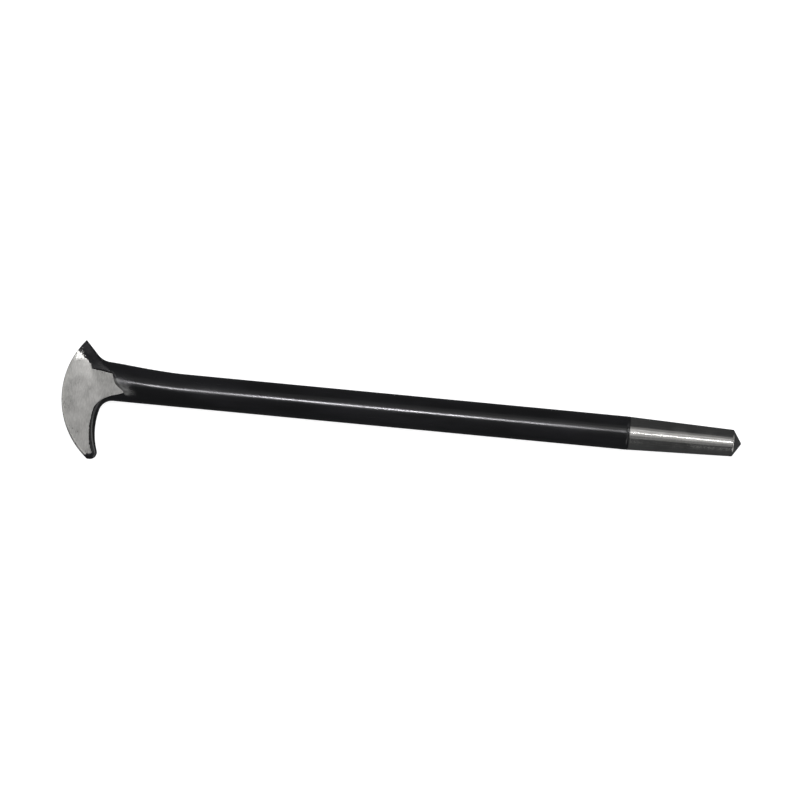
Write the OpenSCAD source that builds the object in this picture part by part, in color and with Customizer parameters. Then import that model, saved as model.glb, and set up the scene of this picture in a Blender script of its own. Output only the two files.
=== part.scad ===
// Rolling-head pry bar: a crescent rocker head with a long claw and a short horn,
// a round bar, and a tapered line-up point, forged from one length of bar stock.

/* [Bar] */
// Overall length, from the rocker edge to the tip of the point
overall_l = 406; // [380:1:460]
// Diameter of the round bar
bar_d = 20; // [19:0.5:21]

/* [Line-up point] */
// Length of the ground end, with its blunt cone
point_l = 67; // [50:1:90]
// Diameter of the taper where the blunt cone starts
point_d = 16; // [12:0.5:18]
// Included angle of the blunt cone
cone_angle = 114; // [90:1:130]
// Diameter of the small flat at the very tip
tip_flat_d = 1; // [0.5:0.1:2]

/* [Rocker head] */
// Radius of the rocker edge
rocker_r = 49; // [47:0.5:52]
// How far the rocker's centre sits to the claw side of the bar's axis
rocker_offset = 7.3; // [6:0.1:9]
// Thickness at the rocker edge itself
edge_t = 1.2; // [0.8:0.1:2]
// Thickness where the fine bevel along the edge meets the ground faces
bevel_t = 2.9; // [2.5:0.1:3.5]
// Slope of each ground face, from the edge up to the bar
face_angle = 12.3; // [11.5:0.1:13]
// Width of the fine bevel along the rocker edge
edge_bevel_w = 1.2; // [0.5:0.1:2]
// Thickness that the crescent was forged to at its rim, before grinding
forged_t = 10; // [8:0.5:12]
// Length of the head, with the neck that blends it into the round bar
head_l = 70; // [66:1:80]

/* [Claw] */
// Radius of the claw's inner edge
claw_r = 42; // [40:0.5:44]
// Distance from the rocker edge to the claw's inner edge, where the claw is narrowest
claw_w = 21.8; // [20:0.1:23]
// Distance from the bar's axis to the middle of the claw's inner edge
claw_mid = 26.9; // [25:0.1:28]
// Radius of the claw's round tip, seen from the side of the bar
claw_tip_r = 4.1; // [3:0.1:4.5]
// Radius of the throat between the claw and the bar
throat_r = 8; // [6:0.5:9]
// Radius of the claw's round nose where it meets the throat
claw_nose_r = 4.5; // [4:0.1:5]
// Radius of the nose where the throat runs into the bar
throat_nose_r = 7; // [6:0.1:8]

/* [Horn] */
// Distance from the bar's axis to the horn's tip
horn_h = 24.8; // [23:0.1:27]
// Slope of the horn's back edge
horn_angle = 47; // [44:1:50]
// Radius between the horn's back edge and the neck
horn_fillet_r = 11; // [8:0.5:12]
// Thickness of the horn's back edge
horn_edge_t = 2; // [1:0.1:3]

/* [Neck] */
// Height of the neck's flare on the horn side, above the bar's axis
flare_h = 12.4; // [11.5:0.1:13]
// Distance from the rocker edge at which the flare has that height
flare_x = 36; // [34:1:38]
// Diameter of the flare, a little less than the bar's
flare_d = 18; // [17:0.5:18.5]
// Angle at which the flare runs into the bar
flare_angle = 4.3; // [4:0.1:5]

/* [Hidden] */
$fn = 64;

black = "#1c1c1e";
ground_steel = "#a9a8a6";

bar_r = bar_d / 2;
flare_r = flare_d / 2;
horn_nose_r = horn_edge_t / 2;
point_from = overall_l - point_l;
cone_l = (point_d - tip_flat_d) / 2 / tan(cone_angle / 2);
taper_l = point_l - cone_l;

// The forged rim stands this far outside the rocker edge before it is ground
rim_stock = 2;

// How many beads follow the claw, the throat and the horn's fillet
claw_beads = 9;
throat_beads = 7;
fillet_beads = 6;

rocker_c = [rocker_r, -rocker_offset];
claw_c = [claw_w + claw_r, -claw_mid];

function unit(v) = v / norm(v);

function left_of(v) = [-v.y, v.x];

function heading(from, to) = (atan2(to.y - from.y, to.x - from.x) + 360) % 360;

function mix(a, b, t) = a + (b - a) * t;

// The point at distance ra from a and rb from b, on the left of the way from a to b
function reach_both(a, ra, b, rb) =
    let (d = norm(b - a), along = (ra * ra - rb * rb + d * d) / (2 * d))
    a + along * unit(b - a) + sqrt(ra * ra - along * along) * left_of(unit(b - a));

// The crossing of two lines, each through a point in a direction
function crossing(p, u, q, v) =
    p + u * ((q - p).x * v.y - (q - p).y * v.x) / (u.x * v.y - u.y * v.x);

// The claw's tip touches the rocker circle inside and the claw's inner circle outside
claw_tip_c = reach_both(claw_c, claw_r + claw_tip_r, rocker_c, rocker_r - claw_tip_r);

// The throat's circle touches the bar's side and the claw's inner circle from inside
throat_c = [
    claw_c.x - sqrt(pow(claw_r - throat_r, 2) - pow(claw_mid - bar_r - throat_r, 2)),
    -bar_r - throat_r
];

// The horn's tip lies on the rocker circle
horn_tip = [
    rocker_r - sqrt(rocker_r * rocker_r - pow(horn_h + rocker_offset, 2)),
    horn_h
];
horn_back = [cos(horn_angle), -sin(horn_angle)];
neck_top = [cos(flare_angle), -sin(flare_angle)];
neck_top_at = [flare_x, flare_h];
flare_end_y = flare_h - flare_r - (head_l - flare_r - flare_x) * tan(flare_angle);

// The horn's fillet touches the horn's back edge and the top of the neck
horn_fillet_c = crossing(
    horn_tip + horn_fillet_r * left_of(horn_back), horn_back,
    neck_top_at + horn_fillet_r * left_of(neck_top), neck_top
);

// How far the head reaches on the claw's side
claw_h = claw_tip_r - claw_tip_c.y;

// The finished bar lies on its side, with the middle of its bounding box on the origin
lie = [-overall_l / 2, (claw_h - horn_h) / 2, bar_r];

// Beads [x, y, radius] whose outsides touch an arc of radius arc_r about c, from angle a
// and radius ra to angle b and radius rb
function beads_on(c, arc_r, a, ra, b, rb, count) = [
    for (i = [0 : count - 1])
        let (t = i / (count - 1), r = mix(ra, rb, t), angle = mix(a, b, t))
        [c.x + (arc_r + r) * cos(angle), c.y + (arc_r + r) * sin(angle), r]
];

// The round inner edge of the crescent, from the claw's tip to the tip of the horn
crescent_beads = concat(
    beads_on(claw_c, claw_r, heading(claw_c, claw_tip_c), claw_tip_r,
        heading(claw_c, throat_c), claw_nose_r, claw_beads),
    beads_on(throat_c, throat_r, heading(claw_c, throat_c), claw_nose_r,
        90, throat_nose_r, throat_beads),
    beads_on(horn_fillet_c, horn_fillet_r, 270 - flare_angle, flare_r,
        270 - horn_angle, horn_nose_r, fillet_beads),
    [[horn_tip.x, horn_tip.y - horn_nose_r, horn_nose_r]]
);

module bead(b) {
    translate([b.x, b.y, 0]) sphere(r = b.z, $fn = 32);
}

// A post of the forged rim, straight outward from a bead
module rim_post(b) {
    rim = rocker_c + (rocker_r + rim_stock) * unit([b.x, b.y] - rocker_c);
    translate([rim.x, rim.y, -forged_t / 2]) cylinder(r = rim_stock / 4, h = forged_t, $fn = 8);
}

// The forged crescent: a web from the round inner edge out past the rocker edge
module crescent() {
    for (i = [1 : len(crescent_beads) - 1])
        hull() {
            bead(crescent_beads[i - 1]);
            bead(crescent_beads[i]);
            rim_post(crescent_beads[i - 1]);
            rim_post(crescent_beads[i]);
        }
}

// A round bar along +X
module bar_x(d, length) {
    rotate([0, 90, 0]) cylinder(d = d, h = length);
}

// The round bar's end, with the flare that tapers into it on the horn's side
module neck() {
    translate([bar_r, 0, 0]) bar_x(bar_d, head_l - bar_r);
    hull() {
        bead([flare_x, flare_h - flare_r, flare_r]);
        bead(crescent_beads[claw_beads + throat_beads]);
        bead([head_l - flare_r, flare_end_y, flare_r]);
    }
}

// The space between the two ground faces, which slope as cones about the rocker's centre.
// Past that centre the round bar is left whole.
module ground_wedge() {
    bevel_half = bevel_t / 2;
    mid_half = bevel_half + (rocker_r - edge_bevel_w) * tan(face_angle);
    translate([rocker_r, -rocker_r, -bar_d]) cube([head_l, 2 * rocker_r, 2 * bar_d]);
    translate(rocker_c)
        rotate_extrude($fn = 144)
            polygon([
                [0, -mid_half], [rocker_r - edge_bevel_w, -bevel_half],
                [rocker_r, -edge_t / 2], [rocker_r, edge_t / 2],
                [rocker_r - edge_bevel_w, bevel_half], [0, mid_half]
            ]);
}

module rolling_head() {
    color(ground_steel)
        translate(lie)
            intersection() {
                union() {
                    crescent();
                    neck();
                }
                ground_wedge();
                translate([0, -claw_h, -bar_r]) cube([head_l, claw_h + horn_h, bar_d]);
            }
}

module shank() {
    color(black)
        translate(lie)
            translate([head_l, 0, 0]) bar_x(bar_d, point_from - head_l);
}

module taper_point() {
    color(ground_steel)
        translate(lie)
            translate([point_from, 0, 0])
                rotate([0, 90, 0]) {
                    cylinder(d1 = bar_d, d2 = point_d, h = taper_l);
                    translate([0, 0, taper_l])
                        cylinder(d1 = point_d, d2 = tip_flat_d, h = cone_l);
                }
}

rolling_head();
shank();
taper_point();
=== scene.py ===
"""Rolling-head pry bar: the visual model, its materials, the studio and the camera.

The bar's lengths are in millimetres in its own frame (X from the rocker edge along the bar,
Y towards the horn, Z up, with the bar's axis on Y = Z = 0), and to_row() puts them in the row
frame in metres. The stage, lights and camera are in metres in the row frame. A pair of numbers
for smooth() is where a change starts and where it is complete.
"""

import math

import bpy
import numpy as np
from mathutils import Matrix, Vector, geometry, noise


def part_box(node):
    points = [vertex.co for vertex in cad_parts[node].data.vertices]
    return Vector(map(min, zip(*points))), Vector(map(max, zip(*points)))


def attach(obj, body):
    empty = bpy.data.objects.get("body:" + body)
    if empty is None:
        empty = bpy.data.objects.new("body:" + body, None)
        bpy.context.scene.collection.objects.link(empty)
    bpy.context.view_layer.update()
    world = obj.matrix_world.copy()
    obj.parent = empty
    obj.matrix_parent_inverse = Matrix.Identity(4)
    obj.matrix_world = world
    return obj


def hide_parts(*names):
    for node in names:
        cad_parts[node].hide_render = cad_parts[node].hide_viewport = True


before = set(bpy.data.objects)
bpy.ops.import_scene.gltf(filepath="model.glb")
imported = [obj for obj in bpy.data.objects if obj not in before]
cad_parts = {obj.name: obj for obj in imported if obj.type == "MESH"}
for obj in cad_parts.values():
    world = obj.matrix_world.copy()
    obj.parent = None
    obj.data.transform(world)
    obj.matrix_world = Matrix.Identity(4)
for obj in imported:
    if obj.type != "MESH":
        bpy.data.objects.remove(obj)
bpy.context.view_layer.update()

# ---------------------------------------------------------------- sizes from the frame

MM = 0.001
head_low, head_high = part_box("rolling_head")
shank_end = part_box("shank")[1].x
point_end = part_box("taper_point")[1].x

HORN_H = 24.8  # how far the horn's tip is from the bar's axis
BAR_R = (head_high.z - head_low.z) / 2 / MM
AXIS = Vector((head_low.x, head_high.y - HORN_H * MM, head_low.z + BAR_R * MM))
HEAD_L = (head_high.x - head_low.x) / MM
SHANK_END = (shank_end - head_low.x) / MM
OVERALL_L = (point_end - head_low.x) / MM
CLAW_H = (AXIS.y - head_low.y) / MM

# ---------------------------------------------------------------- outline of the head, mm

ROCKER_R = 49.0  # the crescent's outer edge
ROCKER_OFFSET = 7.3  # how far its centre is from the bar's axis, on the claw's side
CLAW_R = 42.0  # the claw's hollow inner edge
CLAW_W = 21.8  # the crescent's width at the middle of that edge
CLAW_MID = 26.9  # how far that middle is from the bar's axis
CLAW_TIP_R = 4.1
CORNER_CUT = (0.4, 0.02)  # how far inside its corner on the rocker edge the claw's side starts
THROAT_R = 8.0
HORN_ANGLE = 47.0  # the horn's back, in degrees from the bar's axis
HORN_TIP_CUT = 0.3  # how much of the horn's sharp tip is gone
HORN_FILLET_R = 11.0
FLARE_H = 12.4  # the neck's flare above the bar's axis
FLARE_X = 36.0  # how far the flare is from the rocker edge
FLARE_ANGLE = 4.3
FLARE_FADE = 1.5  # how soon the flare runs out into the bar

# ---------------------------------------------------------------- thickness of the head, mm

EDGE_HALF = 0.6  # half the thickness at the rocker edge
EDGE_ROUND = 0.12  # how far the edge's rim stands out
BEVEL_W = 1.2  # the fine bevel along the edge
BEVEL_HALF = 1.45  # half the thickness at the bevel's inner side
FACE_SLOPE = 0.2  # how fast the ground faces rise away from the rocker edge

TONGUE_FROM = (16.0, 30.0)  # the stretch along X where the ground faces start to tilt
TONGUE_TILT = 0.13
TILT_LOW = -4.0  # the tilt stops growing this far on the claw's side
TILT_FADE = (-20.0, -10.0)  # and has gone at the claw
TONGUE_END = ((29.7, 6.1), (37.4, -4.6))  # the ends of the slanted line where the tongue stops
TONGUE_DENT = 1.6  # the dent in that line, and where along it the dent starts and ends
DENT_START = (-1.0, 5.0)
DENT_END = (12.0, 6.0)
TONGUE_TOP = (17.0, 8.0, 0.14)  # a point on the tongue's upper border, and its slope
TOP_TURN = 2.5  # how steeply that border turns up before the point
TONGUE_STOP = 1.3  # how steeply the forged skin rises past the tongue's borders
TONGUE_BORDER = 0.4  # how quickly the bare steel gives way to paint there
GROUND_END = (40.0, 46.0)  # the stretch where the ground faces leave the neck

HORN_FACET = (12.5, 19.5)  # the stretch along Y where the horn's facet sinks
HORN_FACET_DEPTH = 0.7
HORN_BLEND = (28.5, 20.0)  # the stretch along X from the neck's round side to the horn's back
HORN_BAND = 7.4  # the forged band along the horn's back, and how soft its border is
HORN_BAND_SOFT = 2.0
HORN_EDGE_SHARE = 0.5  # the band's thickness at its edge, as a share of the ground faces'
HORN_RISE = 1.04  # and at its border
HORN_EDGE_ROUND = 1.2

CLAW_NOSE_W = 4.9  # the width of the claw's round inner nose
CLAW_FULLNESS = 1.05
CLAW_ONLY = 2.0  # the side is all claw up to this far above the throat's centre
THROAT_BLEND = (165.0, 92.0)  # the angles round the throat from the claw's nose to the neck

FORGED_LUMPS = ((9.0, 0.05), (2.6, 0.1), (1.1, 0.05))  # size and depth of the skin's slow
# unevenness, then of the horn's coarse and fine scale
SKIN_FADE = 2.5  # how far from the sides the unevenness is in full
NECK_EVEN = (1.0, 8.0)  # how far from the neck's end it starts and is in full

PAINTED_REFLECTION_START = (-1.0, 0.5)  # the painted reflection past the tongue, where the paint is lightened grey, by how far it lies past the tongue
PAINTED_REFLECTION_END = (9.0, 1.0)
PAINTED_REFLECTION_LOW = (-7.5, -4.5)  # and by Y
PAINTED_REFLECTION_HIGH = (5.0, 2.5)

# ---------------------------------------------------------------- mesh of the head, mm

MESH_STEP = 0.42
EDGE_ROWS = 15
EDGE_ROW_STEP = 0.01
ROW_KEPT = 0.96  # a row's point is dropped if it is nearer to a side than this share of its gap
RIM_GAP = 0.35  # how near the rows come to the rocker edge
ROW_END_GAP = 0.2  # how near they come to the neck's end
GRID_END_GAP = 0.3  # and how near the grid comes
ROCKER_ROWS = (0.18, 0.45, 0.8, 1.2, 1.6)  # rows of points inside the rocker edge
ROCKER_CLEAR = 1.9  # where the grid starts inside it
SPARE_GAP = 0.25  # room left between rows that meet

# ---------------------------------------------------------------- bar and point, mm

PAINT_LIP_L = 1.5  # the paint's lip at the ground end
PAINT_LIP = ((1.0, 0.02), (0.86, 0.14), (0.68, 0.16), (0.52, 0.03), (0.42, 0.0))  # share, drop
PAINT_TURN_R = 0.3
PAINT_SAG = 0.03  # how far the paint lies inside the bar's radius, and how much that varies
PAINT_SAG_SPREAD = 0.022
PAINT_SAG_SIZE = 9  # size of that unevenness round the bar, and how much longer it is along it
PAINT_SAG_STRETCH = 3.2
PAINT_SAG_FROM_HEAD = (0.0, 8.0)  # how far from the head it starts and is in full
PAINT_SAG_FROM_END = (1.0, 6.0)  # and how far from the ground end
STEEL_STEP = 0.1  # how far the ground steel is below the paint
POINT_R = 8.0
SHOULDER = ((0.05, 0.06), (0.3, 0.42))  # past the taper's end, and drop, on its worn shoulder
TIP_FLAT_R = 0.5
CONE_L = 4.87
TURNED_SIDES = 144
SHANK_RINGS = 150
TAPER_RINGS = 80
CONE_RINGS = 14

# ---------------------------------------------------------------- colours and stage

PAINT_DARK = (0.0075, 0.0075, 0.008, 1)
PAINT_LIGHT = (0.0125, 0.0125, 0.014, 1)
# the next grey paints the dim reflection of the flat past the tongue onto the black paint
PAINTED_REFLECTION_GREY = (0.17, 0.17, 0.165, 1)
SCALE_GREY = (0.02, 0.02, 0.02, 1)
STEEL_DARK = (0.44, 0.434, 0.417, 1)
STEEL_LIGHT = (0.5, 0.493, 0.473, 1)
STEEL_BRIGHT = (0.68, 0.671, 0.648, 1)
STRIP_TINT = (0.97, 0.96, 1.0)
AIR = (0.8, 0.82, 0.85, 1)
AIR_GLOW = 0.08
FLOOR_GLOW = 0.86

CAMERA_ROLL = 5.441  # degrees
CAMERA_AIM = (201.2, 6.8, 0)  # mm in the bar's frame
CAMERA_HEIGHT = 2.66  # metres
CAMERA_LENS = 200
CAMERA_SENSOR = 36

# ---------------------------------------------------------------- small helpers


def to_row(points):
    """Points in mm in the bar's frame, as metres in the row frame."""
    return np.asarray(points, float) * MM + np.array(AXIS)


def smooth(low, high, x):
    """0 at low and beyond, 1 at high and beyond, and an even S curve between."""
    t = np.clip((np.asarray(x, float) - low) / (high - low), 0, 1)
    return t * t * (3 - 2 * t)


def lumps(points, scale, seed):
    """Smooth noise from -1 to 1 at points in mm, with features about scale mm across."""
    shift = Vector((seed * 17.3, seed * 5.1, seed * 9.7))
    return np.array([noise.noise(Vector(p) / scale + shift) for p in points])


def unit(v):
    """v at length 1."""
    return v / np.linalg.norm(v)


def left_of(v):
    """v turned by a quarter turn to the left."""
    return np.array([-v[1], v[0]])


def pointing(degrees):
    """The unit vector that points this many degrees to the right of +X."""
    return np.array([math.cos(math.radians(degrees)), -math.sin(math.radians(degrees))])


def heading(start, end):
    """The direction from one point to another, from 0 to 360 degrees."""
    return math.degrees(math.atan2(end[1] - start[1], end[0] - start[0])) % 360


def arc(centre, radius, start, end):
    """Points on an arc from one angle to another, in degrees, about MESH_STEP apart."""
    count = max(3, round(abs(math.radians(end - start)) * radius / MESH_STEP) + 1)
    angles = np.radians(np.linspace(start, end, count))
    return np.c_[centre[0] + radius * np.cos(angles), centre[1] + radius * np.sin(angles)]


def line(start, end):
    """Points on a straight line, about MESH_STEP apart."""
    count = max(2, round(np.linalg.norm(np.subtract(end, start)) / MESH_STEP) + 1)
    return np.linspace(start, end, count)


def joined(*runs):
    """The runs as one path, without the points that they share."""
    path = [runs[0]]
    for run in runs[1:]:
        path.append(run[1:] if np.allclose(path[-1][-1], run[0], atol=0.02) else run)
    return np.concatenate(path)


def with_own_rims(vertices, faces, caps):
    """Gives the last faces, as many as caps says, their own vertices, so that the smooth
    shading stops at their rims. Also returns which vertex each one came from."""
    came_from = list(range(len(vertices)))
    own = {}
    for k in range(len(faces) - caps, len(faces)):
        for v in faces[k]:
            if v not in own:
                own[v] = len(came_from)
                came_from.append(v)
        faces[k] = tuple(own[v] for v in faces[k])
    return [vertices[i] for i in came_from], faces, came_from


def piece(name, vertices, faces, node, material):
    """A smooth mesh piece in the row frame that rides on the root and stands for a CAD node."""
    mesh = bpy.data.meshes.new(name)
    mesh.from_pydata([tuple(v) for v in to_row(vertices)], [], faces)
    mesh.update()
    mesh.polygons.foreach_set("use_smooth", [True] * len(faces))
    made = bpy.data.objects.new(name, mesh)
    bpy.context.scene.collection.objects.link(made)
    mesh.materials.append(material)
    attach(made, "root")
    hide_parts(node)
    return made


def add_attribute(made, name, values):
    """One number for each vertex, which a material can read by its name."""
    layer = made.data.attributes.new(name, "FLOAT", "POINT")
    layer.data.foreach_set("value", np.asarray(values, np.float32))


# ---------------------------------------------------------------- outline of the head

rocker_c = np.array([ROCKER_R, -ROCKER_OFFSET])
claw_c = np.array([CLAW_W + CLAW_R, -CLAW_MID])


def reach_both(a, ra, b, rb):
    """The point at distance ra from a and rb from b, on the left of the way from a to b."""
    d = np.linalg.norm(b - a)
    along = (ra * ra - rb * rb + d * d) / (2 * d)
    ahead = unit(b - a)
    return a + along * ahead + math.sqrt(ra * ra - along * along) * left_of(ahead)


def flare_top(x):
    """Height of the neck's horn side above the bar's axis."""
    x = np.asarray(x, float)
    slope = math.tan(math.radians(FLARE_ANGLE))
    fade = np.clip((HEAD_L - x) / (HEAD_L - FLARE_X), 0, 1) ** FLARE_FADE
    return np.where(x < FLARE_X, FLARE_H + (FLARE_X - x) * slope, BAR_R + (FLARE_H - BAR_R) * fade)


def crossing(p, p_ahead, q, q_ahead):
    """The point where the line through p crosses the line through q."""
    x, y = q - p
    along = (x * q_ahead[1] - y * q_ahead[0]) / (p_ahead[0] * q_ahead[1] - p_ahead[1] * q_ahead[0])
    return p + p_ahead * along


def throat_centre():
    """The centre of the throat's arc, which touches the claw's inner edge and the bar's side."""
    drop = CLAW_MID - BAR_R - THROAT_R
    return np.array([claw_c[0] - math.sqrt((CLAW_R - THROAT_R) ** 2 - drop ** 2), -BAR_R - THROAT_R])


def build_claw_side():
    """The claw's side, from the rocker edge round the tip and the throat to the neck's end."""
    tip_c = reach_both(claw_c, CLAW_R + CLAW_TIP_R, rocker_c, ROCKER_R - CLAW_TIP_R)
    corner_x = ROCKER_R - math.sqrt(ROCKER_R ** 2 - (CLAW_H - ROCKER_OFFSET) ** 2)
    corner = (corner_x + CORNER_CUT[0], -CLAW_H + CORNER_CUT[1])
    to_throat = heading(claw_c, throat_c)
    return joined(
        line(corner, (tip_c[0], -CLAW_H)),
        arc(tip_c, CLAW_TIP_R, -90, heading(tip_c, claw_c)),
        arc(claw_c, CLAW_R, heading(claw_c, tip_c), to_throat),
        arc(throat_c, THROAT_R, to_throat, 90),
        line((throat_c[0], -BAR_R), (HEAD_L, -BAR_R)),
    )


def build_horn_side():
    """The horn's side, from the neck's end over the flare and the fillet to the horn's tip."""
    tip_x = ROCKER_R - math.sqrt(ROCKER_R ** 2 - (HORN_H + ROCKER_OFFSET) ** 2)
    tip = np.array([tip_x, HORN_H])
    back = pointing(HORN_ANGLE)
    top = pointing(FLARE_ANGLE)
    beside_back = tip + HORN_FILLET_R * left_of(back)
    beside_top = np.array([FLARE_X, FLARE_H]) + HORN_FILLET_R * left_of(top)
    fillet_c = crossing(beside_back, back, beside_top, top)
    fillet = arc(fillet_c, HORN_FILLET_R, 270 - FLARE_ANGLE, 270 - HORN_ANGLE)
    neck_x = line((HEAD_L, 0), (fillet[0][0], 0))[:, 0]
    return joined(np.c_[neck_x, flare_top(neck_x)], fillet, line(fillet[-1], tip + back * HORN_TIP_CUT))


def build_neck_end():
    """The neck's end across the bar, spaced so that its section has even sides."""
    ring = np.linspace(math.pi, 0, TURNED_SIDES // 2 + 1)[1:-1]
    return np.c_[np.full(len(ring), HEAD_L), BAR_R * np.cos(ring)]


throat_c = throat_centre()
claw_side = build_claw_side()
neck_end = build_neck_end()
horn_side = build_horn_side()


def nearest_on(path, points):
    """Distance from each point to a path, and the place on the path that is nearest. It
    works on some of the points at a time, to save memory."""
    a, b = path[:-1], path[1:]
    ab = b - a
    length = (ab ** 2).sum(1)
    gaps, places = [], []
    for some in np.array_split(points, len(points) // 2000 + 1):
        t = ((some[:, None] - a) * ab).sum(2) / length
        near = a + np.clip(t, 0, 1)[..., None] * ab
        gap = np.linalg.norm(some[:, None] - near, axis=2)
        rows, pick = np.arange(len(some)), gap.argmin(1)
        gaps.append(gap[rows, pick])
        places.append(near[rows, pick])
    return np.concatenate(gaps), np.concatenate(places)


def gap_to_sides(points):
    """Distance from each point to the nearer of the claw's side and the horn's side."""
    return np.minimum(nearest_on(claw_side, points)[0], nearest_on(horn_side, points)[0])


# ---------------------------------------------------------------- heights of the head


def past_tongue(xy):
    """How far points lie past the slanted, dented end of the ground tongue, towards the bar."""
    top, low = np.array(TONGUE_END)
    ahead = unit(low - top)
    along = (xy - top) @ ahead
    dent = TONGUE_DENT * smooth(*DENT_START, along) * smooth(*DENT_END, along)
    return (xy - top) @ left_of(ahead) + dent


def above_tongue(xy):
    """How far points lie above the line where the paint starts on the neck's horn side."""
    x, y, slope = TONGUE_TOP
    return xy[:, 1] - y + slope * (xy[:, 0] - x) - TOP_TURN * np.maximum(0, x - xy[:, 0])


def painted_reflection_beside_tongue(xy):
    """Where the paint is lightened grey and made duller, from 0 to 1, just past the tongue's end. The
    grey is a painted reflection of the flat under it.
    """
    past = past_tongue(xy)
    band = smooth(*PAINTED_REFLECTION_LOW, xy[:, 1]) * smooth(*PAINTED_REFLECTION_HIGH, xy[:, 1])
    return smooth(*PAINTED_REFLECTION_START, past) * smooth(*PAINTED_REFLECTION_END, past) * band


def ground_height(xy):
    """Half thickness that the two ground faces and the rocker's bevel leave."""
    radius = np.linalg.norm(xy - rocker_c, axis=1)
    face = BEVEL_HALF + FACE_SLOPE * (ROCKER_R - BEVEL_W - radius)
    bevel = EDGE_HALF + (BEVEL_HALF - EDGE_HALF) * (ROCKER_R - radius) / BEVEL_W
    up = np.maximum(xy[:, 1] - TONGUE_END[1][1], TILT_LOW) * smooth(*TILT_FADE, xy[:, 1])
    face = face + TONGUE_TILT * up * smooth(*TONGUE_FROM, xy[:, 0])
    face = face - HORN_FACET_DEPTH * smooth(*HORN_FACET, xy[:, 1])
    past = smooth(*GROUND_END, xy[:, 0])
    return np.minimum(face, bevel) * (1 - past) + 2 * BAR_R * past


def round_profile(distance, width):
    """Height, from 0 to 1, of a round nose at a distance from its edge."""
    t = np.clip(distance / width, 0, 1)
    return np.sqrt(np.maximum(0, 1 - (1 - t) ** 2))


def neck_height(xy, gap):
    """Half thickness of the neck's round section at a gap from one of its sides."""
    return BAR_R * round_profile(gap, (flare_top(xy[:, 0]) + BAR_R) / 2)


def claw_skin(xy, ground):
    """Half thickness of the forged skin on the claw's side, from the claw's round nose to the
    neck's round side, and the gap to that side."""
    gap, place = nearest_on(claw_side, xy)
    x, y = (place - throat_c).T
    to_neck = np.where(x > 0, 1, smooth(*THROAT_BLEND, np.degrees(np.arctan2(y, x))))
    to_neck = np.where(y < CLAW_ONLY, 0, to_neck)
    nose = CLAW_FULLNESS * ground * round_profile(gap, CLAW_NOSE_W)
    return nose + (neck_height(xy, gap) - nose) * to_neck, gap


def horn_skin(xy, ground):
    """Half thickness of the forged skin on the horn's side, from the neck's round side to the
    horn's back, the gap to that side, and how much each point belongs to the rough back."""
    gap, place = nearest_on(horn_side, xy)
    to_horn = smooth(*HORN_BLEND, place[:, 0])
    rise = HORN_EDGE_SHARE + (HORN_RISE - HORN_EDGE_SHARE) * gap / HORN_BAND
    back = ground * rise * round_profile(gap, HORN_EDGE_ROUND)
    neck = neck_height(xy, gap)
    rough = to_horn * smooth(HORN_BAND + HORN_BAND_SOFT, HORN_BAND - HORN_BAND_SOFT, gap)
    return neck + (back - neck) * to_horn, gap, rough


def forged_texture(solid, rough):
    """The forged skin's slow unevenness, and the lumps of scale on the horn's rough back."""
    layers = enumerate(FORGED_LUMPS, 1)
    swell, coarse, fine = (depth * lumps(solid, size, seed) for seed, (size, depth) in layers)
    return swell + rough * (coarse + fine)


def head_height(xy, side):
    """Half thickness of the head at points, how much forged skin the grinding took off,
    and how much each point belongs to the horn's rough back."""
    ground = ground_height(xy)
    claw, claw_gap = claw_skin(xy, ground)
    horn, horn_gap, rough = horn_skin(xy, ground)
    skin = np.minimum(claw, horn)
    inside = smooth(0, SKIN_FADE, np.minimum(claw_gap, horn_gap))
    before_bar = smooth(*(HEAD_L - gap for gap in NECK_EVEN), xy[:, 0])
    skin = skin + forged_texture(np.c_[xy, skin * side], rough) * inside * before_bar
    covered = np.maximum(past_tongue(xy), above_tongue(xy))
    stop = ground + TONGUE_STOP * np.maximum(0, covered)
    height = np.minimum(np.minimum(stop, skin), BAR_R)
    return height, np.minimum(skin - ground, -TONGUE_BORDER * covered), rough


# ---------------------------------------------------------------- mesh of the head


def rocker_path(radius):
    """An arc beside the rocker edge, from the horn's tip to the claw's corner."""
    drop = (rocker_c[1] + CLAW_H - EDGE_ROUND) / radius
    corner = min(heading(rocker_c, claw_side[0]), 180 + math.degrees(math.asin(drop)))
    return arc(rocker_c, radius, heading(rocker_c, horn_side[-1]), corner)


def side_rows(path):
    """Rows of points beside one side, close together at its edge and wider apart inside, clear
    of the other side, the rocker edge and the neck's end."""
    ahead = np.gradient(path, axis=0)
    ahead /= np.linalg.norm(ahead, axis=1)[:, None]
    inward = np.c_[-ahead[:, 1], ahead[:, 0]]
    rows = []
    for k in range(1, EDGE_ROWS + 1):
        gap = EDGE_ROW_STEP * k * k
        row = path[2:-2] + inward[2:-2] * gap
        clear = ROCKER_R - np.linalg.norm(row - rocker_c, axis=1) > max(RIM_GAP, gap)
        short = row[:, 0] < HEAD_L - ROW_END_GAP
        rows.append(row[(gap_to_sides(row) > ROW_KEPT * gap) & clear & short])
    return rows


def rocker_rows():
    """Rows of points beside the rocker edge, clear of both sides."""
    rows = []
    for step in ROCKER_ROWS:
        row = rocker_path(ROCKER_R - EDGE_ROUND - step)[2:-2]
        rows.append(row[gap_to_sides(row) > step + SPARE_GAP])
    return rows


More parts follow.
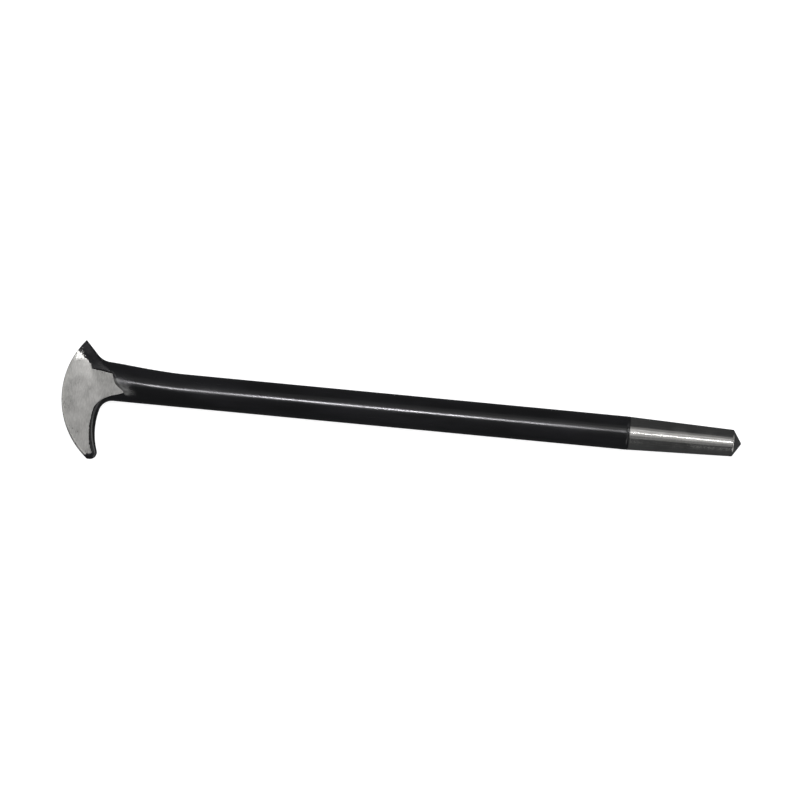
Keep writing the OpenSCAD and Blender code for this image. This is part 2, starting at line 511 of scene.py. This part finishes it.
def middle_grid(low, high):
    """A staggered grid of points over the rest of the head."""
    step_y = MESH_STEP * math.sqrt(3) / 2
    xs, ys = np.meshgrid(np.arange(low[0], high[0], MESH_STEP), np.arange(low[1], high[1], step_y))
    xs = xs + MESH_STEP / 2 * (np.arange(len(ys)) % 2)[:, None]
    grid = np.c_[xs.ravel(), ys.ravel()]
    x, y = grid.T
    rim_gap = ROCKER_R - EDGE_ROUND - np.linalg.norm(grid - rocker_c, axis=1)
    clear = ((rim_gap > ROCKER_CLEAR) | (x > ROCKER_R)) & (x < HEAD_L - GRID_END_GAP)
    in_neck = (y > -BAR_R) & (y < flare_top(x))
    grid = grid[clear & (in_neck | (x < throat_c[0]))]
    return grid[gap_to_sides(grid) > EDGE_ROW_STEP * EDGE_ROWS ** 2 + SPARE_GAP]


def triangulated_plan():
    """The head's plan: its points, its triangles, each point's number in the outline, or -1
    inside it, and how many numbers the outline has. The outline runs along the claw's side,
    the neck's end and the horn's side, then back along the rocker."""
    outline = np.concatenate([claw_side, neck_end, horn_side, rocker_path(ROCKER_R - EDGE_ROUND)])
    rows = side_rows(claw_side) + side_rows(horn_side) + rocker_rows()
    inside = rows + [middle_grid(outline.min(0), outline.max(0))]
    count = len(outline)
    loop = [(i, (i + 1) % count) for i in range(count)]
    plan = [Vector(p) for p in np.concatenate([outline] + inside)]
    points, _, triangles, kept, _, _ = geometry.delaunay_2d_cdt(plan, loop, [], 1, 1e-6)
    number = np.array([k[0] if k else -1 for k in kept])
    return np.array([(p.x, p.y) for p in points]), triangles, number, count


def head_skins(xy, on_edge, at_end):
    """Vertices of the upper and lower skin, which share the ones on the inner edge, with their
    bare and rough values, and which vertex each side and plan point has."""
    vertices, bare, rough, index = [], [], [], {}
    for side in (1, -1):
        height, taken, horn = head_height(xy, side)
        height = np.where(on_edge, 0, height)
        height = np.where(at_end, np.sqrt(np.maximum(0, BAR_R ** 2 - xy[:, 1] ** 2)), height)
        for i in range(len(xy)):
            if side == -1 and on_edge[i]:
                index[side, i] = index[1, i]
                continue
            index[side, i] = len(vertices)
            vertices.append((xy[i, 0], xy[i, 1], side * height[i]))
            bare.append(taken[i])
            rough.append(horn[i])
    return vertices, bare, rough, index


def polygon(corners):
    """A face with each corner once, in a list, which is empty if fewer than three are left."""
    corners = tuple(dict.fromkeys(corners))
    return [corners] if len(corners) > 2 else []


def skin_faces(triangles, index):
    """The plan's triangles on the upper skin and, turned over, on the lower one."""
    faces = []
    for a, b, c in triangles:
        faces.append((index[1, a], index[1, b], index[1, c]))
        faces.append((index[-1, c], index[-1, b], index[-1, a]))
    return faces


def rim_faces(path, index, rim):
    """The rocker edge's rounded rim, from each skin out to the rim's own vertices."""
    faces = []
    for a, b in zip(path[:-1], path[1:]):
        for side in (1, -1):
            skin = (index[side, b], index[side, a])
            out = (rim.get(a, skin[1]), rim.get(b, skin[0]))
            faces.extend(face[::side] for face in polygon(skin + out))
    return faces


def end_faces(path, index):
    """The flat end of the neck, in strips from the upper skin to the lower."""
    faces = []
    for a, b in zip(path[:-1], path[1:]):
        faces.extend(polygon((index[1, b], index[1, a], index[-1, a], index[-1, b])))
    return faces


def build_head(material):
    """The crescent, claw, horn and neck as one closed mesh."""
    xy, triangles, number, count = triangulated_plan()
    end_first = len(claw_side)
    horn_first = end_first + len(neck_end)
    rocker_first = horn_first + len(horn_side)
    at_end = (number >= end_first) & (number < horn_first)
    on_edge = (number >= 0) & (number < rocker_first) & ~at_end
    vertices, bare, rough, index = head_skins(xy, on_edge, at_end)

    place = {int(n): i for i, n in enumerate(number) if n >= 0}
    rocker = [place[n] for n in range(rocker_first - 1, count)] + [place[0]]
    rim = {}
    for i in rocker[1:-1]:
        rim[i] = len(vertices)
        vertices.append((*(rocker_c + unit(xy[i] - rocker_c) * ROCKER_R), 0))
        bare.append(1)
        rough.append(0)
    end = end_faces([place[n] for n in range(end_first - 1, horn_first + 1)], index)
    faces = skin_faces(triangles, index) + rim_faces(rocker, index, rim) + end

    vertices, faces, came_from = with_own_rims(vertices, faces, len(end))
    made = piece("rolling_head_forging", vertices, faces, "rolling_head", material)
    add_attribute(made, "bare", np.array(bare)[came_from])
    add_attribute(made, "rough", np.array(rough)[came_from])
    # the patch past the tongue where a reflection is painted into the paint's colour
    add_attribute(made, "painted_reflection_patch", painted_reflection_beside_tongue(np.array(vertices)[:, :2]))


# ---------------------------------------------------------------- turned lengths


def lathe(stations, wobble):
    """Vertices and faces of a round length along X from (x, radius) stations, closed at both
    ends. wobble gives the small error of the radius at (x, angles)."""
    around = TURNED_SIDES
    angles = np.linspace(0, 2 * math.pi, around, endpoint=False)
    vertices, faces = [], []
    for x, radius in stations:
        r = radius + wobble(x, angles)
        vertices.extend(zip(np.full(around, x), r * np.cos(angles), r * np.sin(angles)))
    for ring in range(len(stations) - 1):
        a, b = ring * around, (ring + 1) * around
        for i in range(around):
            j = (i + 1) % around
            faces.append((a + i, a + j, b + j, b + i))
    faces.append(tuple(range(around))[::-1])
    faces.append(tuple(range(len(vertices) - around, len(vertices))))
    vertices, faces, _ = with_own_rims(vertices, faces, 2)
    return vertices, faces


def even(x, angles):
    """No error at all."""
    return np.zeros_like(angles)


def paint_wobble(x, angles):
    """The paint's slight unevenness, always inward, and none where the head joins."""
    from_head = smooth(*PAINT_SAG_FROM_HEAD, x - HEAD_L)
    from_end = smooth(*PAINT_SAG_FROM_END, SHANK_END - x)
    ring = [(x / PAINT_SAG_STRETCH, BAR_R * math.cos(a), BAR_R * math.sin(a)) for a in angles]
    return -from_head * from_end * (PAINT_SAG + PAINT_SAG_SPREAD * lumps(ring, PAINT_SAG_SIZE, 4))


def build_shank(material):
    """The painted bar, with the paint's lip at its ground end."""
    start = [(HEAD_L, BAR_R), (HEAD_L + 0.5, BAR_R)]
    middle = [(x, BAR_R) for x in np.linspace(HEAD_L + 2, SHANK_END - PAINT_LIP_L - 0.6, SHANK_RINGS)]
    lip = [(SHANK_END - PAINT_LIP_L * share, BAR_R - drop) for share, drop in PAINT_LIP]
    turn = []
    for a in np.linspace(0, math.pi / 2, 7):
        x = SHANK_END - PAINT_TURN_R + PAINT_TURN_R * math.sin(a)
        turn.append((x, BAR_R - PAINT_TURN_R + PAINT_TURN_R * math.cos(a)))
    vertices, faces = lathe(start + middle + lip + turn, paint_wobble)
    piece("shank_painted_bar", vertices, faces, "shank", material)


def build_point(material):
    """The ground taper with its blunt cone and the small flat at the very tip."""
    taper_end = OVERALL_L - CONE_L
    start_r = BAR_R - STEEL_STEP
    growth = (POINT_R - BAR_R + STEEL_STEP) / (taper_end - SHANK_END)
    taper = [
        (x, start_r + growth * (x - SHANK_END))
        for x in np.linspace(SHANK_END, taper_end - 0.25, TAPER_RINGS)
    ]
    shoulder = [(taper_end + past, POINT_R - drop) for past, drop in SHOULDER]
    cone_x, cone_r = shoulder[-1]
    slope = (cone_r - TIP_FLAT_R) / (OVERALL_L - cone_x)
    cone = [
        (x, cone_r - slope * (x - cone_x))
        for x in np.linspace(cone_x + 0.3, OVERALL_L - 0.12, CONE_RINGS)
    ]
    tip = [(OVERALL_L - 0.02, TIP_FLAT_R), (OVERALL_L, TIP_FLAT_R - 0.15)]
    vertices, faces = lathe(taper + shoulder + cone + tip, even)
    piece("taper_point_ground", vertices, faces, "taper_point", material)


# ---------------------------------------------------------------- materials


class Nodes:
    """A short way to write a material's nodes. Coordinates are in mm in the row frame."""

    def __init__(self, name):
        self.material = bpy.data.materials.new(name)
        self.material.use_nodes = True
        self.tree = self.material.node_tree
        self.tree.nodes.clear()
        self.shader = self.add("ShaderNodeBsdfPrincipled")
        output = self.add("ShaderNodeOutputMaterial")
        self.link(self.shader.outputs["BSDF"], output.inputs["Surface"])
        place = self.add("ShaderNodeNewGeometry").outputs["Position"]
        self.place = self.vector("MULTIPLY", place, (1000, 1000, 1000))

    def add(self, kind, **settings):
        """A new node with these settings."""
        node = self.tree.nodes.new(kind)
        for key, value in settings.items():
            setattr(node, key, value)
        return node

    def link(self, start, end):
        """Joins an output socket to an input socket."""
        self.tree.links.new(start, end)

    def put(self, socket, value):
        """Links a socket to value, or sets it if value is a number or a colour."""
        if hasattr(value, "is_linked"):
            self.link(value, socket)
        else:
            socket.default_value = value

    def math(self, operation, a, b=0.0, c=0.0):
        """One operation on numbers."""
        node = self.add("ShaderNodeMath", operation=operation)
        for socket, value in zip(node.inputs, (a, b, c)):
            self.put(socket, value)
        return node.outputs[0]

    def vector(self, operation, a, b):
        """One operation on vectors."""
        node = self.add("ShaderNodeVectorMath", operation=operation)
        self.put(node.inputs[0], a)
        self.put(node.inputs[1], b)
        return node.outputs[0]

    def noise(self, size, stretch=(1, 1, 1), detail=3.0, rough=0.55, seed=0.0):
        """Noise from about 0.2 to 0.8, with features about size mm across."""
        scaled = self.vector("MULTIPLY", self.place, tuple(1 / (size * s) for s in stretch))
        shifted = self.vector("ADD", scaled, (seed * 7.1, seed * 3.3, seed * 5.7))
        node = self.add("ShaderNodeTexNoise", noise_dimensions="3D")
        self.link(shifted, node.inputs["Vector"])
        node.inputs["Scale"].default_value = 1.0
        node.inputs["Detail"].default_value = detail
        node.inputs["Roughness"].default_value = rough
        return node.outputs["Fac"]

    def span(self, value, low, high, to_low=0.0, to_high=1.0):
        """value from low..high to to_low..to_high, held at both ends."""
        node = self.add("ShaderNodeMapRange", interpolation_type="SMOOTHSTEP")
        for socket, number in zip(node.inputs, (value, low, high, to_low, to_high)):
            self.put(socket, number)
        return node.outputs["Result"]

    def mix(self, factor, a, b):
        """A number from a at factor 0 to b at factor 1."""
        node = self.add("ShaderNodeMix", data_type="FLOAT")
        self.put(node.inputs[0], factor)
        self.put(node.inputs[2], a)
        self.put(node.inputs[3], b)
        return node.outputs[0]

    def colour(self, factor, a, b):
        """A colour from a at factor 0 to b at factor 1."""
        node = self.add("ShaderNodeMix", data_type="RGBA")
        self.put(node.inputs[0], factor)
        self.put(node.inputs[6], a)
        self.put(node.inputs[7], b)
        return node.outputs[2]

    def attribute(self, name):
        """The mesh's own number at each vertex."""
        return self.add("ShaderNodeAttribute", attribute_name=name).outputs["Fac"]

    def bump(self, height_mm):
        """Relief on the surface, from its height in mm."""
        node = self.add("ShaderNodeBump")
        node.inputs["Strength"].default_value = 1.0
        node.inputs["Distance"].default_value = MM
        self.link(height_mm, node.inputs["Height"])
        self.link(node.outputs["Normal"], self.shader.inputs["Normal"])

    def finish(self, base, roughness, metallic, height_mm, sheen=0.5):
        """Joins the look to the shader and gives back the finished material."""
        self.put(self.shader.inputs["Specular IOR Level"], sheen)
        self.put(self.shader.inputs["Base Color"], base)
        self.put(self.shader.inputs["Roughness"], roughness)
        self.put(self.shader.inputs["Metallic"], metallic)
        self.bump(height_mm)
        return self.material


def paint_look(n):
    """Gloss black enamel: colour, roughness and height in mm."""
    cloud = n.noise(14, (3, 1, 1), seed=1)
    peel = n.noise(1.6, (1.6, 1, 1), detail=2, seed=2)
    streak = n.noise(0.9, (22, 1, 1), detail=2, seed=3)
    base = n.colour(n.span(cloud, 0.35, 0.7), PAINT_DARK, PAINT_LIGHT)
    roughness = n.math("ADD", n.span(cloud, 0.3, 0.7, 0.17, 0.23), n.span(streak, 0.5, 0.75, 0, 0.06))
    height = n.math("ADD", n.math("MULTIPLY", peel, 0.003), n.math("MULTIPLY", streak, 0.004))
    return base, roughness, height


def steel_look(n, grain, streaks, gloss, depth):
    """Ground steel: colour, roughness and height in mm. grain is the stretch of its grinding
    marks and depth how deep they are, streaks is the stretch of its lighter streaks, and
    gloss is taken from the roughness."""
    cloud = n.noise(9, seed=5)
    marks = n.noise(0.35, grain, detail=2, rough=0.6, seed=6)
    fine = n.noise(0.16, detail=1, seed=7)
    scratch = n.span(n.noise(0.5, grain, detail=1, seed=8), 0.66, 0.72)
    base = n.colour(n.span(cloud, 0.35, 0.65), STEEL_DARK, STEEL_LIGHT)
    bright = n.noise(0.6, streaks, detail=3, seed=9)
    base = n.colour(n.math("MULTIPLY", n.span(bright, 0.4, 0.65), 0.45), base, STEEL_BRIGHT)
    clouded = n.span(cloud, 0.3, 0.7, 0.38 - gloss, 0.46 - gloss)
    roughness = n.math("ADD", clouded, n.span(marks, 0.3, 0.7, -0.04, 0.05))
    height = n.math("MULTIPLY", marks, depth)
    height = n.math("MULTIPLY_ADD", fine, depth / 6, height)
    height = n.math("MULTIPLY_ADD", scratch, -depth / 2, height)
    return base, roughness, height


def paint_material():
    """The bar's black enamel."""
    n = Nodes("gloss_black_paint")
    base, roughness, height = paint_look(n)
    return n.finish(base, roughness, 0.0, height)


def taper_material():
    """The point's bare steel, with marks that run round it."""
    n = Nodes("ground_taper_steel")
    base, roughness, height = steel_look(n, (1, 400, 400), (40, 1, 1), 0.25, 0.0009)
    return n.finish(base, roughness, 1.0, height)


def worn_paint_and_painted_reflection_look(n, rough):
    """The head's paint, over rough scale on the horn, and lightened grey and duller past the tongue,
    where the grey is a painted reflection.
    """
    paint, paint_rough, paint_height = paint_look(n)
    scale = n.span(n.noise(0.9, detail=4, rough=0.7, seed=12), 0.5, 0.7)
    scale = n.math("MULTIPLY", scale, rough)
    paint = n.colour(n.math("MULTIPLY", scale, 0.4), paint, SCALE_GREY)
    # painted reflection: the paint turns grey past the tongue, where the flat under it would catch a
    # dim reflection, and it is duller there too
    painted_reflection_patch = n.math("MULTIPLY", n.attribute("painted_reflection_patch"), n.noise(2.2, (2, 1, 1), detail=4, seed=14))
    paint = n.colour(n.span(painted_reflection_patch, 0.1, 0.75), paint, PAINTED_REFLECTION_GREY)
    for more, amount in ((rough, 0.07), (scale, 0.12), (painted_reflection_patch, 0.3)):
        paint_rough = n.math("MULTIPLY_ADD", more, amount, paint_rough)
    pits = n.noise(0.7, detail=3, seed=13)
    paint_height = n.math("MULTIPLY_ADD", n.math("MULTIPLY", pits, rough), 0.035, paint_height)
    paint_height = n.math("MULTIPLY_ADD", n.noise(1.2, (7, 1, 1), seed=15), 0.02, paint_height)
    return paint, paint_rough, paint_height


def bare_patches(n, rough):
    """1 where the grinding cut through the black skin and 0 elsewhere, with a ragged border."""
    ragged = n.math("SUBTRACT", n.noise(1.3, detail=4, rough=0.65, seed=11), 0.5)
    cut = n.math("MULTIPLY_ADD", ragged, n.mix(rough, 0.35, 0.9), n.attribute("bare"))
    return n.span(cut, -0.03, 0.05)


def head_material():
    """Bare ground faces in the worn paint, which carries a painted reflection past the tongue and
    stands 0.02 mm above the steel.
    """
    n = Nodes("forged_head_finish")
    rough = n.attribute("rough")
    paint, paint_rough, paint_height = worn_paint_and_painted_reflection_look(n, rough)
    steel, steel_rough, steel_height = steel_look(n, (1, 5, 5), (1, 4, 4), 0.08, 0.006)
    bare = bare_patches(n, rough)
    base = n.colour(bare, paint, steel)
    roughness = n.mix(bare, paint_rough, steel_rough)
    height = n.mix(bare, n.math("ADD", paint_height, 0.02), steel_height)
    return n.finish(base, roughness, bare, height, sheen=n.mix(rough, 0.5, 0.14))


# ---------------------------------------------------------------- stage, lights and camera


def sweep_mesh():
    """A round floor that sweeps up into a wall well outside every camera, in metres."""
    flat_r, sweep_r, wall_h, around = 3.2, 1.2, 2.4, 96
    profile = [(r, 0.0) for r in (0.4, 1.0, 1.8, 2.6)]
    for a in np.linspace(0, math.pi / 2, 14):
        profile.append((flat_r + sweep_r * math.sin(a), sweep_r * (1 - math.cos(a))))
    profile.append((flat_r + sweep_r, sweep_r + wall_h))
    vertices = [(0.0, 0.0, 0.0)]
    for r, z in profile:
        for a in np.linspace(0, 2 * math.pi, around, endpoint=False):
            vertices.append((r * math.cos(a), r * math.sin(a), z))
    faces = [(0, 1 + i, 1 + (i + 1) % around) for i in range(around)]
    for ring in range(len(profile) - 1):
        a, b = 1 + ring * around, 1 + (ring + 1) * around
        for i in range(around):
            j = (i + 1) % around
            faces.append((a + i, b + i, b + j, a + j))
    mesh = bpy.data.meshes.new("studio_sweep")
    mesh.from_pydata(vertices, [], faces)
    mesh.polygons.foreach_set("use_smooth", [True] * len(mesh.polygons))
    return mesh


def sweep_material():
    """Matt and pale, with a glow of its own, so that it renders as plain white."""
    material = bpy.data.materials.new("pale_sweep")
    material.use_nodes = True
    shader = material.node_tree.nodes["Principled BSDF"]
    shader.inputs["Base Color"].default_value = (0.5, 0.5, 0.5, 1)
    shader.inputs["Roughness"].default_value = 1.0
    shader.inputs["Specular IOR Level"].default_value = 0.0
    shader.inputs["Emission Color"].default_value = (1, 1, 1, 1)
    shader.inputs["Emission Strength"].default_value = FLOOR_GLOW
    return material


def build_stage():
    """The floor, which the bar doesn't mirror, so that the bar's edges stay dark."""
    floor = bpy.data.objects.new("studio_sweep", sweep_mesh())
    floor.data.materials.append(sweep_material())
    floor.visible_glossy = False
    floor.visible_diffuse = False
    bpy.context.scene.collection.objects.link(floor)


def soft_light(name, place, size, brightness, target=(0, 0, 0), colour=(1, 1, 1)):
    """A rectangular light that faces target, in metres, with size as its width, level or along
    X, and its height. brightness is how bright its surface looks."""
    data = bpy.data.lights.new(name, "AREA")
    data.shape = "RECTANGLE"
    data.size, data.size_y = size
    data.energy = 4 * size[0] * size[1] * brightness
    data.color = colour
    lamp = bpy.data.objects.new(name, data)
    lamp.location = place
    lamp.rotation_mode = "QUATERNION"
    back = (Vector(place) - Vector(target)).normalized()
    side = Vector((1, 0, 0)) if back.z > 0.9 else Vector((0, 0, 1)).cross(back)
    side = (side - back * side.dot(back)).normalized()
    lamp.rotation_quaternion = Matrix((side, back.cross(side), back)).transposed().to_quaternion()
    lamp.visible_camera = False
    bpy.context.scene.collection.objects.link(lamp)


def build_strips():
    """Small bright lights above, which draw the thin line along the bar."""
    soft_light("strip_left", (-0.15, 0.43, 2.6), (0.34, 0.08), 85, (-0.15, 0, 0), STRIP_TINT)
    soft_light("strip_middle", (0.035, 0.38, 2.6), (0.1, 0.08), 230, (0.035, 0, 0), STRIP_TINT)
    soft_light("strip_point", (0.6, 0.3, 2.6), (0.2, 0.05), 34, (0.6, 0, 0))


def build_panels():
    """Wide soft lights above, for the head's faces, the horn's facet and the ground point."""
    soft_light("band_panel", (0.25, 0.9, 2.3), (0.3, 0.8), 0.9, (0.25, 0, 0))
    soft_light("back_panel", (0.35, 1.5, 2.1), (1.2, 1.2), 0.2)
    soft_light("over_panel", (0.62, 0.0, 2.4), (0.5, 3.2), 0.2, (0.62, 0, 0))
    soft_light("core_panel", (0.62, 0.06, 2.5), (0.45, 1.3), 0.35, (0.62, 0, 0))
    soft_light("left_panel", (-1.9, 0.1, 2.1), (2.8, 2.2), 0.31)
    soft_light("right_panel", (2.2, 0.2, 1.8), (2.2, 1.6), 1.6)
    soft_light("front_left_panel", (-1.5, -1.3, 1.75), (1.0, 0.9), 1.5)
    soft_light("horn_panel", (-0.95, 1.05, 2.03), (0.42, 0.42), 9)


def build_low_panels():
    """Soft lights all round near the floor, for the views from the side."""
    soft_light("low_back_left", (-1.8, 1.8, 0.95), (2.2, 1.7), 0.9)
    soft_light("low_left", (-2.5, -0.1, 0.8), (1.7, 1.3), 0.6)
    soft_light("low_front_right", (1.8, -1.8, 0.95), (2.2, 1.7), 0.9)
    soft_light("low_back_right", (1.9, 1.6, 0.95), (1.8, 1.5), 0.7)


def build_air():
    """A faint even light from everywhere."""
    world = bpy.data.worlds.new("studio_air")
    world.use_nodes = True
    background = world.node_tree.nodes["Background"]
    background.inputs["Color"].default_value = AIR
    background.inputs["Strength"].default_value = AIR_GLOW
    bpy.context.scene.world = world


def build_camera():
    """Straight down with a long lens, rolled so that the bar runs down to the right."""
    data = bpy.data.cameras.new("camera")
    data.lens = CAMERA_LENS
    data.sensor_width = CAMERA_SENSOR
    data.clip_start = 0.1
    data.clip_end = 50
    camera = bpy.data.objects.new("camera", data)
    roll = math.radians(CAMERA_ROLL)
    right = Vector((math.cos(roll), math.sin(roll), 0))
    up = Vector((-math.sin(roll), math.cos(roll), 0))
    turn = Matrix((right, up, right.cross(up))).transposed()
    camera.rotation_mode = "QUATERNION"
    camera.rotation_quaternion = turn.to_quaternion()
    middle = AXIS + Vector(CAMERA_AIM) * MM
    camera.location = (middle.x, middle.y, CAMERA_HEIGHT)
    bpy.context.scene.collection.objects.link(camera)
    bpy.context.scene.camera = camera


# ---------------------------------------------------------------- the scene

build_head(head_material())
build_shank(paint_material())
build_point(taper_material())
build_stage()
build_strips()
build_panels()
build_low_panels()
build_air()
build_camera()

bpy.context.scene.view_settings.view_transform = "Standard"
